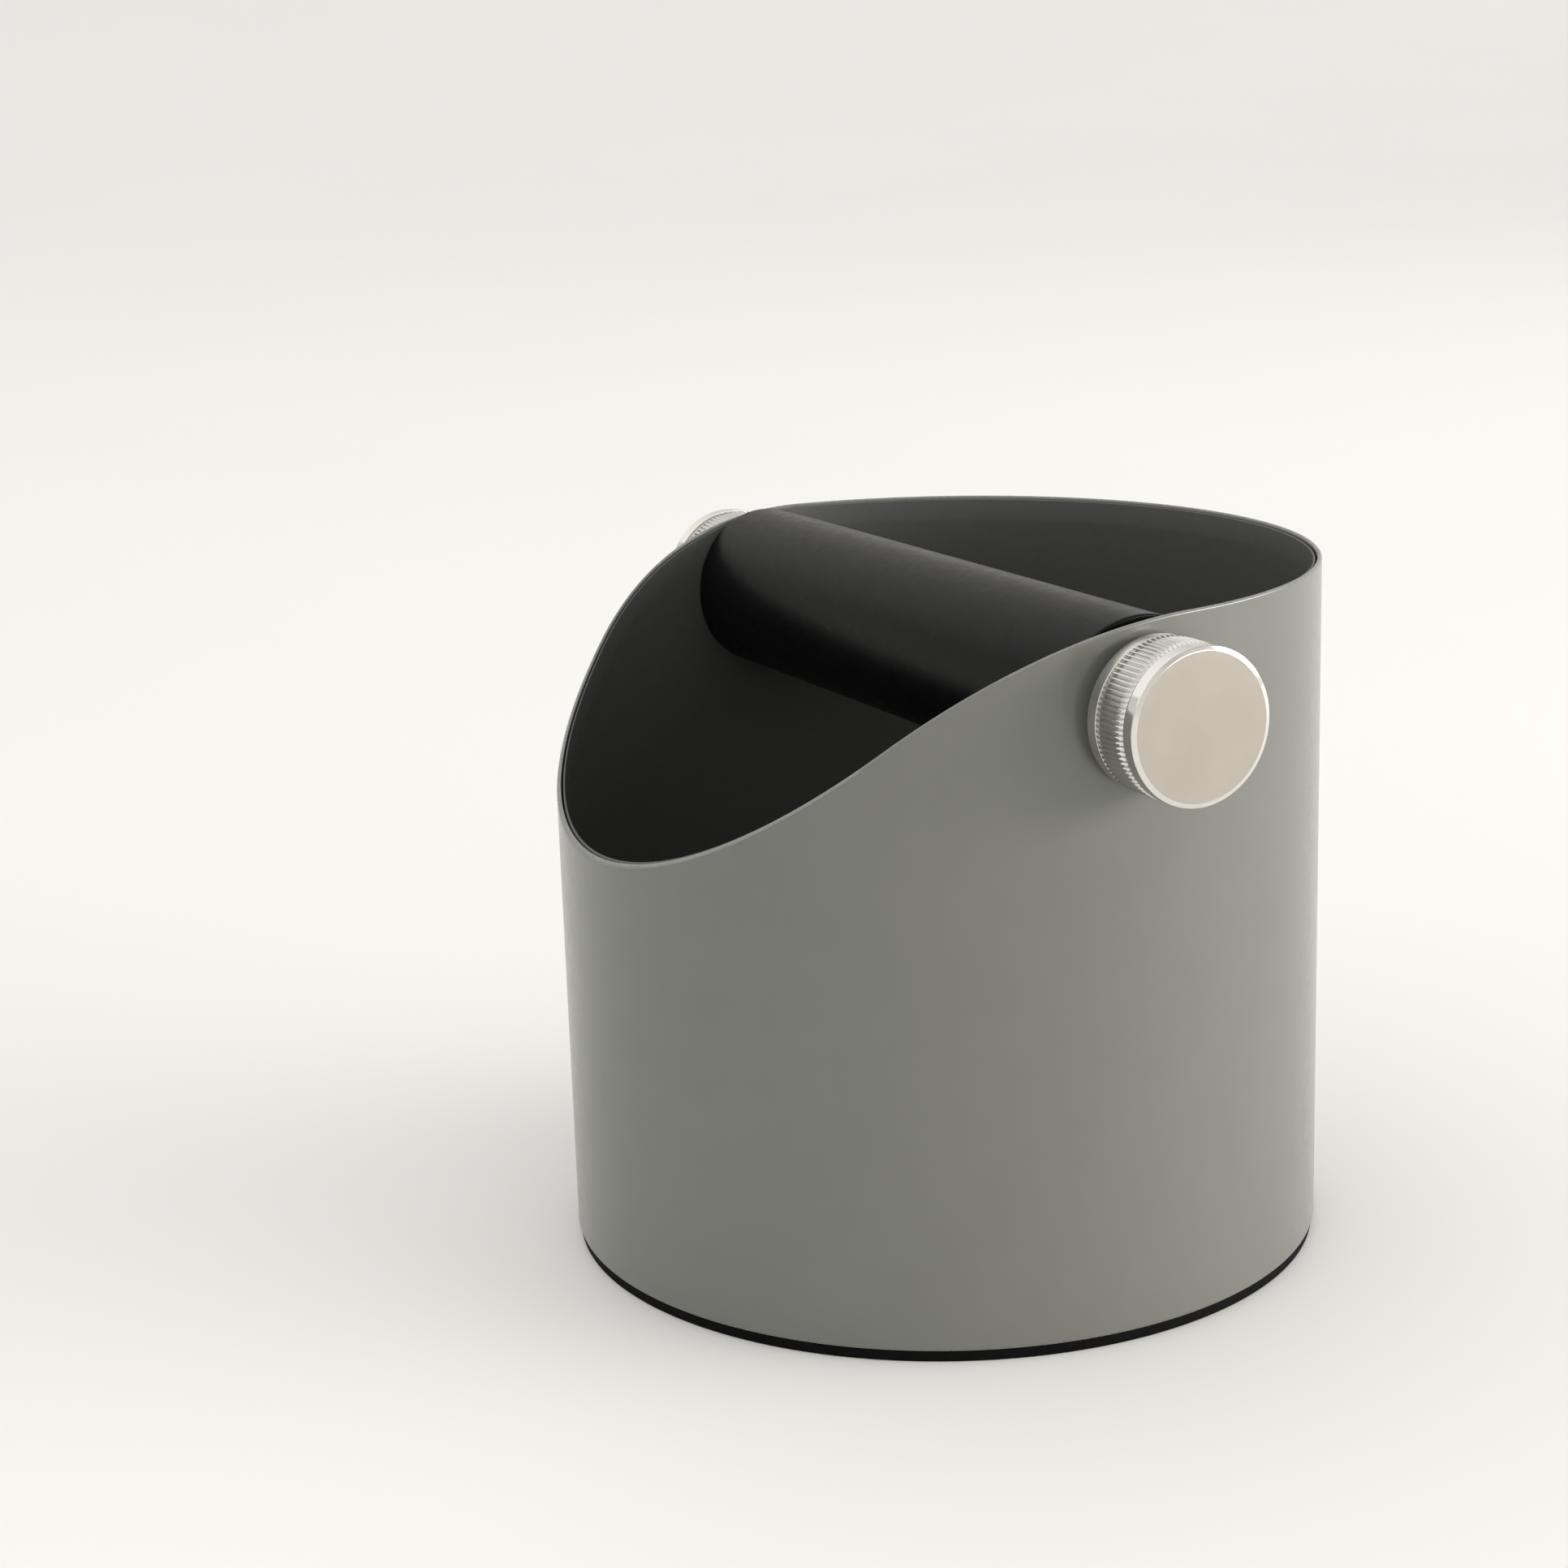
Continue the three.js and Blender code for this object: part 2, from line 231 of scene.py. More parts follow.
class Finish:
    """A procedural material in progress: a Principled shader and the nodes that feed it."""

    def __init__(self, name, roughness, metallic=0.0, specular=0.5):
        self.material = bpy.data.materials.new(name)
        self.material.use_nodes = True
        self.nodes = self.material.node_tree.nodes
        self.links = self.material.node_tree.links
        self.shader = self.nodes["Principled BSDF"]
        self.shader.inputs["Roughness"].default_value = roughness
        self.shader.inputs["Metallic"].default_value = metallic
        self.shader.inputs["Specular IOR Level"].default_value = specular
        self.place = self.nodes.new("ShaderNodeTexCoord").outputs["Object"]
        self.last_normal = None

    def stretched(self, scale):
        """Object coordinates scaled by a different amount along each axis."""
        mapping = self.nodes.new("ShaderNodeMapping")
        mapping.inputs["Scale"].default_value = scale
        self.links.new(self.place, mapping.inputs["Vector"])
        return mapping.outputs["Vector"]

    def noise(self, cell, detail=2.0, scale=(1, 1, 1)):
        """Noise whose cells are about cell metres across."""
        texture = self.nodes.new("ShaderNodeTexNoise")
        texture.inputs["Scale"].default_value = 1 / cell
        texture.inputs["Detail"].default_value = detail
        self.links.new(self.stretched(scale), texture.inputs["Vector"])
        return texture.outputs["Fac"]

    def spread(self, value, low, high):
        """The middle of a noise's range mapped to low and high."""
        ramp = self.nodes.new("ShaderNodeMapRange")
        ramp.inputs["From Min"].default_value = 0.3
        ramp.inputs["From Max"].default_value = 0.7
        ramp.inputs["To Min"].default_value = low
        ramp.inputs["To Max"].default_value = high
        self.links.new(value, ramp.inputs["Value"])
        return ramp.outputs["Result"]

    def colours(self, value, low, high):
        mix = self.nodes.new("ShaderNodeMix")
        mix.data_type = "RGBA"
        mix.inputs["A"].default_value = (*low, 1)
        mix.inputs["B"].default_value = (*high, 1)
        self.links.new(self.spread(value, 0, 1), mix.inputs["Factor"])
        self.links.new(mix.outputs["Result"], self.shader.inputs["Base Color"])

    def roughness(self, value, low, high):
        self.links.new(self.spread(value, low, high), self.shader.inputs["Roughness"])

    def bump(self, value, height, strength=1.0):
        """Adds relief about height metres deep, on top of any relief added before."""
        node = self.nodes.new("ShaderNodeBump")
        node.inputs["Strength"].default_value = strength
        node.inputs["Distance"].default_value = height
        self.links.new(value, node.inputs["Height"])
        if self.last_normal:
            self.links.new(self.last_normal, node.inputs["Normal"])
        self.last_normal = node.outputs["Normal"]
        self.links.new(self.last_normal, self.shader.inputs["Normal"])


def grey_powder_coat():
    finish = Finish("grey_powder_coat", 0.3, specular=0.7)
    finish.colours(finish.noise(12 * MM, 2), (0.144, 0.1465, 0.132), (0.15, 0.1525, 0.138))
    finish.roughness(finish.noise(3 * MM, 2), 0.2, 0.25)
    finish.bump(finish.noise(0.35 * MM, 2), 0.004 * MM, 0.3)
    return finish.material


def edge_highlight_coat():
    """Lighter grey for the shell's rim and lower edge: a painted highlight where these edges catch light.
    """
    finish = Finish("edge_highlight_coat", 0.3, specular=0.8)
    finish.colours(finish.noise(4 * MM, 3), (0.17, 0.172, 0.16), (0.2, 0.202, 0.19))
    finish.roughness(finish.noise(1 * MM, 2), 0.24, 0.34)
    finish.bump(finish.noise(0.35 * MM, 2), 0.004 * MM, 0.3)
    return finish.material


def black_bucket_coat():
    finish = Finish("black_bucket_coat", 0.42)
    finish.colours(finish.noise(2 * MM, 3), (0.071, 0.075, 0.071), (0.077, 0.081, 0.077))
    finish.roughness(finish.noise(1.0 * MM, 3), 0.42, 0.5)
    finish.bump(finish.noise(0.4 * MM, 2), 0.02 * MM, 0.5)
    return finish.material


def bar_silicone():
    finish = Finish("bar_silicone", 0.4, specular=0.09)
    finish.colours(finish.noise(5 * MM, 4), (0.0028, 0.0025, 0.0028), (0.0044, 0.004, 0.0043))
    finish.roughness(finish.noise(2 * MM, 4), 0.27, 0.35)
    finish.bump(finish.noise(0.35 * MM, 2), 0.004 * MM, 0.4)
    finish.bump(finish.noise(6 * MM, 1), 0.05 * MM, 0.4)
    return finish.material


def foot_rubber():
    finish = Finish("foot_rubber", 0.85, specular=0.08)
    finish.colours(finish.noise(3 * MM, 4), (0.002, 0.002, 0.002), (0.004, 0.004, 0.004))
    finish.roughness(finish.noise(1 * MM, 3), 0.68, 0.82)
    finish.bump(finish.noise(0.3 * MM, 3), 0.02 * MM, 0.6)
    return finish.material


def base_plastic():
    finish = Finish("base_plastic", 0.55)
    finish.colours(finish.noise(4 * MM, 3), (0.015, 0.015, 0.015), (0.02, 0.02, 0.02))
    finish.roughness(finish.noise(0.8 * MM, 3), 0.5, 0.62)
    finish.bump(finish.noise(0.25 * MM, 2), 0.02 * MM, 0.7)
    return finish.material


def washer_nylon():
    finish = Finish("washer_nylon", 0.5)
    finish.colours(finish.noise(2 * MM, 3), (0.012, 0.012, 0.012), (0.018, 0.018, 0.018))
    finish.roughness(finish.noise(0.6 * MM, 2), 0.45, 0.55)
    finish.bump(finish.noise(0.2 * MM, 2), 0.01 * MM, 0.6)
    return finish.material


def polished_steel():
    finish = Finish("polished_steel", 0.1, metallic=1.0)
    finish.colours(finish.noise(6 * MM, 3), (0.74, 0.715, 0.675), (0.78, 0.755, 0.715))
    turning = finish.noise(0.12 * MM, 2, (1, 0.02, 0.02))
    finish.roughness(turning, 0.07, 0.15)
    finish.bump(turning, 0.002 * MM, 0.4)
    return finish.material


def satin_steel_face():
    finish = Finish("satin_steel_face", 0.32, metallic=1.0)
    finish.colours(finish.noise(10 * MM, 2), (0.405, 0.372, 0.326), (0.435, 0.402, 0.354))
    finish.roughness(finish.noise(0.5 * MM, 3), 0.2, 0.26)
    finish.bump(finish.noise(0.1 * MM, 2), 0.001 * MM, 0.4)
    return finish.material


def shaded_knurled_steel():
    # Darker than the polished steel as painted shade: the shell and its shadow reflected behind the
    # groove.
    finish = Finish("shaded_knurled_steel", 0.27, metallic=1.0)
    finish.colours(finish.noise(6 * MM, 3), (0.66, 0.648, 0.625), (0.72, 0.708, 0.68))
    finish.roughness(finish.noise(4 * MM, 2), 0.2, 0.27)
    finish.bump(finish.noise(2 * MM, 1), 0.004 * MM, 0.3)
    return finish.material


def plain_steel():
    finish = Finish("plain_steel", 0.35, metallic=1.0)
    finish.colours(finish.noise(3 * MM, 4), (0.48, 0.48, 0.47), (0.6, 0.6, 0.585))
    finish.roughness(finish.noise(0.7 * MM, 3), 0.28, 0.42)
    finish.bump(finish.noise(0.15 * MM, 2), 0.004 * MM, 0.6)
    return finish.material


# ---- Pieces ----


def rim_drop(point):
    """How far the rim lies below its level part at a point, from the point's place front to back."""
    along = RIM_LEVEL_END - point.y
    arc_end = RIM_ARC_RADIUS * math.sin(RIM_SLOPE)
    if along <= 0:
        return 0.0
    if along <= arc_end:
        return RIM_ARC_RADIUS - math.sqrt(RIM_ARC_RADIUS ** 2 - along ** 2)
    return RIM_ARC_RADIUS * (1 - math.cos(RIM_SLOPE)) + (along - arc_end) * math.tan(RIM_SLOPE)


WALL_ROWS = 26
HIGHEST_ROW = 0.92
EDGE_STEPS = 6
CORNER_STEPS = 8
CORNER_HOLD = 0.3 * MM
TAPER_HOLD = 0.9 * MM


def wall_up(radius, low, top, edge, hold=CORNER_HOLD):
    """Points (radius, share of the wall, offset) up a wall that ends edge + top below the rim. Its even
    rows stop at the highest row, clear of the edge, and a row at each end, hold from the corner, keeps the
    corner's shading off the wall."""
    steps = [(radius, 0.0, low), (radius, 0.0, low + hold)]
    steps += [(radius, HIGHEST_ROW * row / WALL_ROWS, None) for row in range(1, WALL_ROWS + 1)]
    steps += [(radius, 1.0, -edge - hold - top), (radius, 1.0, -edge - top)]
    return steps


def wall_point(radius, share, offset, angle, low, top):
    """A point on a wall. Share 0 counts offset up from zero, share 1 counts it from the rim, and a share
    between them is that part of the way from low to top below the rim."""
    point = around_z(radius, 0, angle)
    rim = RIM_HEIGHT - rim_drop(point)
    if share == 0:
        point.z = offset
    elif share == 1:
        point.z = rim + offset
    else:
        point.z = low + (rim - top - low) * share
    return point


def wall_rings(path, low, top):
    """The rings round the bin's axis through a path of (radius, share, offset)."""
    rings = []
    for radius, share, offset in path:
        if radius == 0:
            rings.append([Vector((0, 0, offset))])
            continue
        ring = [wall_point(radius, share, offset, angle, low, top) for angle in angles(ROUND_COLUMNS)]
        rings.append(ring)
    return rings


def rim_arc(outer, inner, top):
    """The rounded top edge of a wall, from its outside to its inside."""
    half = (outer - inner) / 2
    points = []
    for step in range(1, EDGE_STEPS):
        angle = math.pi * step / EDGE_STEPS
        points.append((inner + half + half * math.cos(angle), 1.0, half * math.sin(angle) - half - top))
    return points


def foot_arc(inner, low, half):
    """The rounded lower edge of a wall 2 * half thick, from its inside to its outside."""
    points = []
    for step in range(1, EDGE_STEPS):
        angle = math.pi + math.pi * step / EDGE_STEPS
        points.append((inner + half + half * math.cos(angle), 0.0, low + half * math.sin(angle)))
    return points


STUD_HOLE_COLUMNS = 64


def stud_hole_cutter(name):
    """A rod along the bar's axis that reaches past both sides of the shell."""
    reach = SHELL_RADIUS * 1.1
    outline = [(0, -reach), (STUD_HOLE_RADIUS, -reach), (STUD_HOLE_RADIUS, reach), (0, reach)]
    return finish_mesh(name, turned(outline, STUD_HOLE_COLUMNS, around_bar, closed=False))


EDGE_SKIN = 0.05 * MM


def paint_edge_highlight(shell, inner, outer, material_index):
    """Gives the rim and lower edge the painted-highlight grey, except at the height of the stud holes."""
    for polygon in shell.data.polygons:
        centre = polygon.center
        between = inner + EDGE_SKIN < math.hypot(centre.x, centre.y) < outer - EDGE_SKIN
        if between and abs(centre.z - BAR_AXIS) > 2 * STUD_RADIUS:
            polygon.material_index = material_index


def make_shell(edge_highlight_index):
    """The painted tube. Its top edge follows the wave, and both its edges are rounded."""
    outer = SHELL_RADIUS
    inner = SHELL_RADIUS - SHELL_WALL
    half = SHELL_WALL / 2
    low = SHELL_BASE + half
    path = wall_up(outer, low, 0, half)
    path += rim_arc(outer, inner, 0)
    path += reversed(wall_up(inner, low, 0, half))
    path += foot_arc(inner, low, half)
    shell = finish_mesh("shell", skin(wall_rings(path, low, 0), closed=True))
    cut_away(shell, stud_hole_cutter("shell_hole_tool"))
    paint_edge_highlight(shell, inner, outer, edge_highlight_index)
    return shell


def make_bucket():
    """The black bucket: a wall that follows the wave a little lower and thins to a fine edge there, a
    round corner and a flat floor."""
    outer = BUCKET_RADIUS
    inner = BUCKET_RADIUS - BUCKET_WALL
    top = BUCKET_RIM_DROP
    low = BUCKET_FLOOR + BUCKET_CORNER
    floor_top = BUCKET_FLOOR + BUCKET_FLOOR_WALL
    inner_corner = BUCKET_CORNER - BUCKET_WALL
    path = []
    for radius in (0, outer / 2, outer - BUCKET_CORNER - CORNER_HOLD):
        path.append((radius, 0.0, BUCKET_FLOOR))
    for step in range(CORNER_STEPS):
        angle = math.pi / 2 * (step / CORNER_STEPS - 1)
        radius = outer + BUCKET_CORNER * (math.cos(angle) - 1)
        path.append((radius, 0.0, low + BUCKET_CORNER * math.sin(angle)))
    path += wall_up(outer, low, top, BUCKET_EDGE / 2)
    path += rim_arc(outer, outer - BUCKET_EDGE, top)
    path += reversed(wall_up(inner, floor_top + inner_corner, top, BUCKET_TAPER, hold=TAPER_HOLD))
    for step in range(1, CORNER_STEPS + 1):
        angle = -math.pi / 2 * step / CORNER_STEPS
        height = floor_top + inner_corner * (1 + math.sin(angle))
        path.append((inner + inner_corner * (math.cos(angle) - 1), 0.0, height))
    for radius in (inner - inner_corner - CORNER_HOLD, inner / 2, 0):
        path.append((radius, 0.0, floor_top))
    bucket = finish_mesh("bucket", skin(wall_rings(path, low, top), closed=False))
    cut_away(bucket, stud_hole_cutter("bucket_hole_tool"))
    return bucket


def make_foot():
    """The black ring under the shell."""
    inner, outer = FOOT_RADIUS - FOOT_WIDTH, FOOT_RADIUS
    low, high = 0.0, SHELL_BASE - 0.05 * MM
    fillet = 0.3 * MM
    corners = [(inner, low, fillet), (outer, low, fillet), (outer, high, fillet), (inner, high, fillet)]
    return finish_mesh("foot", turned(rounded(corners, True), ROUND_COLUMNS, around_z, closed=True))


END_FILLET = 0.4 * MM


def end_outline(bore, radius):
    """A holed end as (radius, inset): flat from the bore outwards, then round its outer edge."""
    outline = [(bore, 0.0), (radius - 2 * END_FILLET, 0.0)]
    for step in range(FILLET_STEPS + 1):
        angle = math.pi / 2 * step / FILLET_STEPS
        inset = END_FILLET * (1 - math.cos(angle))
        outline.append((radius - END_FILLET * (1 - math.sin(angle)), inset))
    return outline


def wall_ring(radius, wall_radius, inset, stretch=1.0):
    """A ring about the bar's axis that lies on an upright round wall, moved out along X by inset. Stretch
    scales its distance from the middle of the bin, and -1 puts it on the left."""
    ring = []
    for angle in angles(BAR_COLUMNS):
        point = around_bar(radius, 0, angle)
        point.x = (math.sqrt(wall_radius ** 2 - point.y ** 2) + inset) * stretch
        ring.append(point)
    return ring


def make_sleeve():
    """The rubber tube on the bar. Its ends are hollowed to sit on the round wall of the bucket."""
    wall_radius = BUCKET_RADIUS - BUCKET_WALL - SLEEVE_GAP
    middle_rows = 12
    last_inset = END_FILLET + 0.5 * MM
    end = end_outline(SLEEVE_BORE_RADIUS, BAR_RADIUS) + [(BAR_RADIUS, last_inset)]
    rings = [wall_ring(radius, wall_radius, -inset) for radius, inset in end]
    for row in range(1, middle_rows):
        rings.append(wall_ring(BAR_RADIUS, wall_radius, -last_inset, stretch=1 - 2 * row / middle_rows))
    rings += [wall_ring(radius, wall_radius, -inset, stretch=-1) for radius, inset in reversed(end)]
    return finish_mesh("sleeve", skin(rings, closed=True))


def make_washer():
    """A holed disc between the seat in the knob's back and the round wall of the shell."""
    end = end_outline(STUD_HOLE_RADIUS, WASHER_RADIUS)
    rings = []
    for radius, inset in end:
        rings.append([around_bar(radius, WASHER_TOP - inset, angle) for angle in angles(BAR_COLUMNS)])
    rings += [wall_ring(radius, SHELL_RADIUS + GAP, inset) for radius, inset in reversed(end)]
    return finish_mesh("washer_r", skin(rings, closed=True))


THREAD_COLUMNS = 40
THREAD_ROWS_PER_TURN = 8


def thread_ring(height, share_cut):
    """A ring of the thread, height above the stud's end, where share_cut of its depth has been reached."""
    ring = []
    for angle in angles(THREAD_COLUMNS):
        phase = height / THREAD_PITCH - angle / (2 * math.pi)
        valley = abs(2 * (phase % 1.0) - 1)
        depth = THREAD_DEPTH * max(valley, 1 - share_cut)
        ring.append(around_bar(STUD_RADIUS - depth, STUD_START + height, angle))
    return ring


def make_stud():
    """A rolled thread up to the knob's back face, whose first turn grows out of the core, then a plain
    shank."""
    threaded = KNOB_BACK - STUD_START
    rows = round(threaded / THREAD_PITCH * THREAD_ROWS_PER_TURN)
    shank_start = threaded + 0.5 * MM
    rings = [[around_bar(0, STUD_START, 0)]]
    for row in range(rows + 1):
        rings.append(thread_ring(threaded * row / rows, min(1.0, row / THREAD_ROWS_PER_TURN)))
    for height in (shank_start, STUD_LENGTH):
        ring = [around_bar(STUD_RADIUS, STUD_START + height, angle) for angle in angles(THREAD_COLUMNS)]
        rings.append(ring)
    rings.append([around_bar(0, STUD_START + STUD_LENGTH, 0)])
    return finish_mesh("stud_r", skin(rings, closed=False), sharp_degrees=25)


# The knob, from its back face at zero to its front face.
KNOB_RIBS = 90
COLUMNS_PER_RIB = 8
RIB_ROWS = 4
RIB_CREST_GAIN = 1.15
KNOB_BACK_RADIUS = 13.95 * MM
KNOB_BACK_LENGTH = 2.8 * MM
RIB_CREST = 14.15 * MM
RIB_VALLEY = 13.62 * MM
RIB_LENGTH = 8.0 * MM
RIB_CHAMFER = 0.42 * MM
GROOVE_RADIUS = 13.2 * MM
GROOVE_LENGTH = 0.85 * MM
CAP_RADIUS = 14.2 * MM
FACE_RADIUS = 13.3 * MM
BEVEL_DROP = 0.34 * MM
KNOB_FILLET = 0.2 * MM
SEAT_DEPTH = 1.0 * MM
BORE_DEPTH = 8.3 * MM


def knob_outline():
    """The knob's outline in three stretches: up to the ribs, the ribs themselves as (height, share of
    their full depth), and on to the face."""
    ribs_start = KNOB_BACK_LENGTH
    ribs_end = ribs_start + RIB_LENGTH
    cap_start = ribs_end + GROOVE_LENGTH
    back = rounded([
        (0, BORE_DEPTH, 0),
        (STUD_RADIUS + GAP, BORE_DEPTH, 0),
        (STUD_RADIUS + GAP, SEAT_DEPTH, 0),
        (WASHER_RADIUS + GAP, SEAT_DEPTH, 0),
        (WASHER_RADIUS + GAP, 0, KNOB_FILLET),
        (KNOB_BACK_RADIUS, 0, 2 * KNOB_FILLET),
        (KNOB_BACK_RADIUS, ribs_start, KNOB_FILLET / 2),
        (RIB_VALLEY, ribs_start, 0),
    ], closed=False)
    front = rounded([
        (RIB_VALLEY, ribs_end, 0),
        (GROOVE_RADIUS, ribs_end, KNOB_FILLET),
        (GROOVE_RADIUS, cap_start, KNOB_FILLET),
        (CAP_RADIUS, cap_start, KNOB_FILLET),
        (CAP_RADIUS, KNOB_LENGTH - BEVEL_DROP, KNOB_FILLET),
        (FACE_RADIUS, KNOB_LENGTH, 2 * KNOB_FILLET),
        (0, KNOB_LENGTH, 0),
    ], closed=False)
    ribs = [(ribs_start + 0.05 * MM, 0.0), (ribs_start + RIB_CHAMFER, 1.0)]
    ribs += [(ribs_start + RIB_LENGTH * row / RIB_ROWS, 1.0) for row in range(1, RIB_ROWS)]
    ribs += [(ribs_end - RIB_CHAMFER, 1.0), (ribs_end - 0.02 * MM, 0.0)]
    return back, ribs, front


def rib_height(angle):
    """The height of a rib's section, from 0 in a valley to 1 on a crest, with a slightly flat crest."""
    wave = 0.5 + 0.5 * math.cos(KNOB_RIBS * angle)
    return min(1.0, RIB_CREST_GAIN * wave)


def plain_ring(radius, height, columns):
    """A ring of the knob, height in front of its back face."""
    if radius < ON_AXIS:
        return [around_bar(0, KNOB_BACK + height, 0)]
    return [around_bar(radius, KNOB_BACK + height, angle) for angle in angles(columns)]


def ribbed_ring(height, rise, columns):
    """A ring of the knob whose ribs stand up by the share rise of their full height."""
    ring = []
    for angle in angles(columns):
        radius = RIB_VALLEY + (RIB_CREST - RIB_VALLEY) * rise * rib_height(angle)
        ring.append(around_bar(radius, KNOB_BACK + height, angle))
    return ring


def make_knob(face_material_index, shaded_knurl_index):
    """The knob. Its front face has its own material; all of it behind the groove, steel darkened as
    painted shade.
    """
    columns = KNOB_RIBS * COLUMNS_PER_RIB
    back, ribs, front = knob_outline()
    rings = [plain_ring(radius, height, columns) for radius, height in back]
    rings += [ribbed_ring(height, rise, columns) for height, rise in ribs]
    rings += [plain_ring(radius, height, columns) for radius, height in front]
    knob = finish_mesh("knob_r", skin(rings, closed=False), sharp_degrees=50)
    face_plane = KNOB_BACK + KNOB_LENGTH - 0.01 * MM
    groove_plane = KNOB_BACK + KNOB_BACK_LENGTH + RIB_LENGTH + GROOVE_LENGTH / 2
    for polygon in knob.data.polygons:
        if polygon.center.x > face_plane:
            polygon.material_index = face_material_index
        elif polygon.center.x < groove_plane:
            polygon.material_index = shaded_knurl_index
    return knob


SCREW_RADIUS = 1.5 * MM
SCREW_HEAD_LENGTH = 1.3 * MM
SCREW_CHAMFER = 0.3 * MM
SCREW_COLUMNS = 48
SOCKET_RADIUS = 1.15 * MM
SOCKET_DEPTH = 1.0 * MM
HEXAGON = 6


def make_screw(node):
    """A countersunk screw with a hexagon socket, head down."""
    centre = middle(node)
    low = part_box(node)[0].z
    height = extent(node).z
    head = extent(node).x / 2
    tip = SCREW_RADIUS - SCREW_CHAMFER
    corners = [
        (0, 0, 0),
        (head, 0, 0.08 * MM),
        (head, 0.15 * MM, 0),
        (SCREW_RADIUS, SCREW_HEAD_LENGTH, 0.1 * MM),
        (SCREW_RADIUS, height - SCREW_CHAMFER, 0),
        (tip, height, 0),
        (0, height, 0),
    ]
    outline = rounded(corners, closed=False)
    screw = finish_mesh(node + "_fine", turned(outline, SCREW_COLUMNS, around_z, closed=False))
    low_corner, high_corner = (SOCKET_RADIUS, -SOCKET_DEPTH), (SOCKET_RADIUS, SOCKET_DEPTH)
    outline = [(0, -SOCKET_DEPTH), low_corner, high_corner, (0, SOCKET_DEPTH)]
    socket = finish_mesh("socket_tool", turned(outline, HEXAGON, around_z, closed=False))
    cut_away(screw, socket)
    screw.data.transform(Matrix.Translation((centre.x, centre.y, low)))
    return screw


# ---- Assembly ----


def dress(piece, body, slot_name, node, *materials):
    """Gives a piece its materials and the body it rides on and hides the node it replaces. slot_name is
    not used.
    """
    for material in materials:
        piece.data.materials.append(material)
    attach(piece, body)
    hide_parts(node)


def give_material(node, material):
    for slot_of_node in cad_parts[node].material_slots:
        slot_of_node.material = material


def build_bin(steel):
    shell = make_shell(edge_highlight_index=1)
    # The shell's second material is a painted highlight on its rim and lower edge.
    dress(shell, "bin", "shell_paint", "outer_shell", grey_powder_coat(), edge_highlight_coat())
    dress(make_bucket(), "bin", "bucket_coat", "inner_bucket", black_bucket_coat())
    dress(make_foot(), "bin", "foot_rubber", "foot_ring", foot_rubber())
    dress(make_sleeve(), "bin", "bar_rubber", "bar_sleeve", bar_silicone())
    for node in SCREW_NODES:
        dress(make_screw(node), "bin", "screw_steel", node, steel)
    give_material("base_plate", base_plastic())
    for node in ("bar_core", "bar_plug_right", "bar_plug_left"):
        give_material(node, steel)


def build_knobs(steel):
    """The right washer, stud and knob, and copies of them on the left."""
    nylon = washer_nylon()
    # The third steel, used behind the knob's groove, is darkened as painted shade.
    knob_steels = polished_steel(), satin_steel_face(), shaded_knurled_steel()
    washer = make_washer()
    stud = make_stud()
    knob = make_knob(face_material_index=1, shaded_knurl_index=2)
    right = washer, stud, knob
    left = [turn_to_left(piece, piece.name.replace("_r", "_l")) for piece in right]
    for side, (washer, stud, knob) in (("right", right), ("left", left)):
        dress(washer, f"{side}_washer", "washer_plastic", f"washer_{side}", nylon)
        dress(stud, f"{side}_knob", "stud_steel", f"stud_{side}", steel)
        dress(knob, f"{side}_knob", "knob_steel", f"knob_{side}", *knob_steels)


# ---- Floor, lights and camera ----


FLOOR_FLAT_RADIUS = 3.0
FLOOR_SWEEP_RADIUS = 6.0
FLOOR_SWEEP_ANGLE = math.radians(60)
FLOOR_SWEEP_STEPS = 24
FLOOR_COLUMNS = 128


def make_floor():
    """A floor that is flat round the object, and far off sweeps up all round to hide the horizon."""
    outline = [(0, 0), (FLOOR_FLAT_RADIUS, 0)]
    for step in range(1, FLOOR_SWEEP_STEPS + 1):
        angle = FLOOR_SWEEP_ANGLE * step / FLOOR_SWEEP_STEPS
        radius = FLOOR_FLAT_RADIUS + FLOOR_SWEEP_RADIUS * math.sin(angle)
        outline.append((radius, FLOOR_SWEEP_RADIUS * (1 - math.cos(angle))))
    floor = finish_mesh("floor", turned(outline, FLOOR_COLUMNS, around_z, closed=False))
    finish = Finish("pale_floor", 0.6, specular=0.2)
    finish.colours(finish.noise(0.4, 2), (0.83, 0.825, 0.81), (0.84, 0.835, 0.82))
    floor.data.materials.append(finish.material)


def towards(azimuth, elevation):
    """The direction from the object to a place at an azimuth from the front and a height, in degrees."""
    a, e = math.radians(azimuth), math.radians(elevation)
    return Vector((math.sin(a) * math.cos(e), -math.cos(a) * math.cos(e), math.sin(e)))


BRIGHT_SIDE = towards(340, 50)
DARK_LEVEL = 0.6
BRIGHT_LEVEL = 1.22
DARKEST_FACING = -0.2
SKY_COLOUR = (1.0, 0.99, 0.965)
WINDOW_PLACE = 2.9 * towards(144, 13)
WINDOW_WIDTH = 3.8
WINDOW_HEIGHT = 0.8
WINDOW_POWER = 25.0
WINDOW_SPREAD = math.radians(80)
WINDOW_COLOUR = (1.0, 0.98, 0.95)


def add_window():
    """A wide low panel of light behind the object and to its right, which faces it."""
    data = bpy.data.lights.new("window", "AREA")
    data.shape = "RECTANGLE"
    data.size = WINDOW_WIDTH
    data.size_y = WINDOW_HEIGHT
    data.energy = WINDOW_POWER
    data.color = WINDOW_COLOUR
    data.spread = WINDOW_SPREAD
    lamp = bpy.data.objects.new("window", data)
    lamp.location = WINDOW_PLACE
    lamp.rotation_euler = WINDOW_PLACE.to_track_quat("Z", "Y").to_euler()
    lamp.visible_camera = False
    bpy.context.scene.collection.objects.link(lamp)


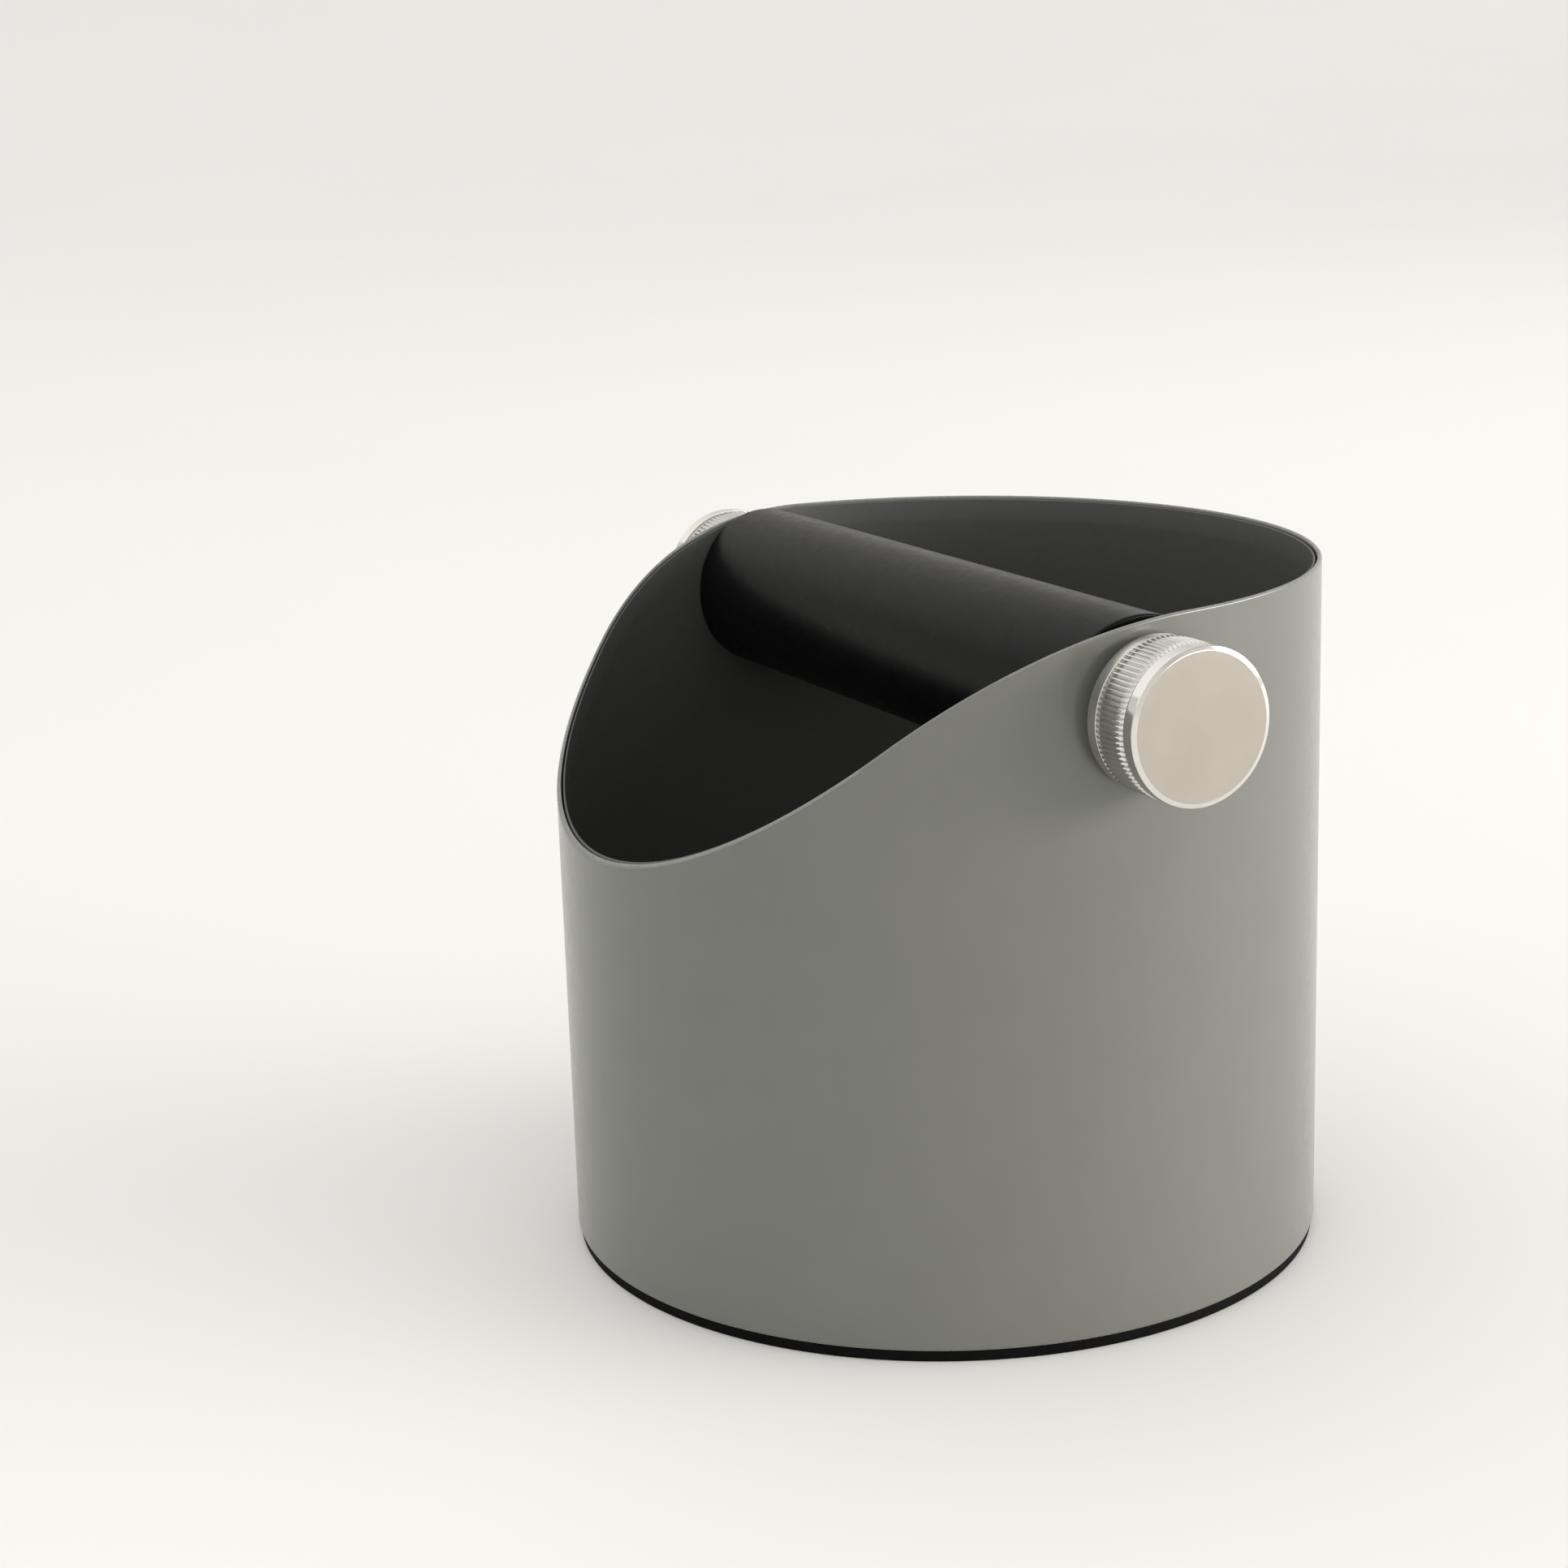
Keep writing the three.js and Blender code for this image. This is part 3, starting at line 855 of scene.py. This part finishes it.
def make_sky():
    """Soft light all round, a little stronger from above on one side."""
    world = bpy.data.worlds.new("studio")
    world.use_nodes = True
    nodes, links = world.node_tree.nodes, world.node_tree.links
    direction = nodes.new("ShaderNodeTexCoord").outputs["Generated"]
    facing = nodes.new("ShaderNodeVectorMath")
    facing.operation = "DOT_PRODUCT"
    facing.inputs[1].default_value = BRIGHT_SIDE
    links.new(direction, facing.inputs[0])
    level = nodes.new("ShaderNodeMapRange")
    level.interpolation_type = "SMOOTHSTEP"
    level.inputs["From Min"].default_value = DARKEST_FACING
    level.inputs["From Max"].default_value = 1.0
    level.inputs["To Min"].default_value = DARK_LEVEL
    level.inputs["To Max"].default_value = BRIGHT_LEVEL
    links.new(facing.outputs["Value"], level.inputs["Value"])
    background = nodes["Background"]
    background.inputs["Color"].default_value = (*SKY_COLOUR, 1)
    links.new(level.outputs["Result"], background.inputs["Strength"])
    bpy.context.scene.world = world
    bpy.context.scene.view_settings.view_transform = "Standard"


CAMERA_AZIMUTH = 60.14
CAMERA_ELEVATION = 22.41
CAMERA_DISTANCE = 0.6205
CAMERA_RISE = 0.00055
CAMERA_PAN = 2.94
CAMERA_TILT = 8.02
CAMERA_ROLL = -0.72
CAMERA_LENS = 68.36


def make_camera():
    """Looks at the foot of the bin from the front right, then turns aside, up and about its axis."""
    back = towards(CAMERA_AZIMUTH, CAMERA_ELEVATION)
    look = (-back).to_track_quat("-Z", "Y").to_matrix().to_4x4()
    turn = Matrix.Rotation(math.radians(CAMERA_PAN), 4, "Y")
    turn = turn @ Matrix.Rotation(math.radians(CAMERA_TILT), 4, "X")
    turn = turn @ Matrix.Rotation(math.radians(CAMERA_ROLL), 4, "Z")
    data = bpy.data.cameras.new("camera")
    data.lens = CAMERA_LENS
    data.sensor_width = 36
    data.clip_start = 0.01
    data.clip_end = 100
    camera = bpy.data.objects.new("camera", data)
    place = back * CAMERA_DISTANCE + Vector((0, 0, CAMERA_RISE))
    camera.matrix_world = Matrix.Translation(place) @ look @ turn
    bpy.context.scene.collection.objects.link(camera)
    bpy.context.scene.camera = camera


make_camera()
plain = plain_steel()
build_bin(plain)
build_knobs(plain)
make_floor()
make_sky()
add_window()
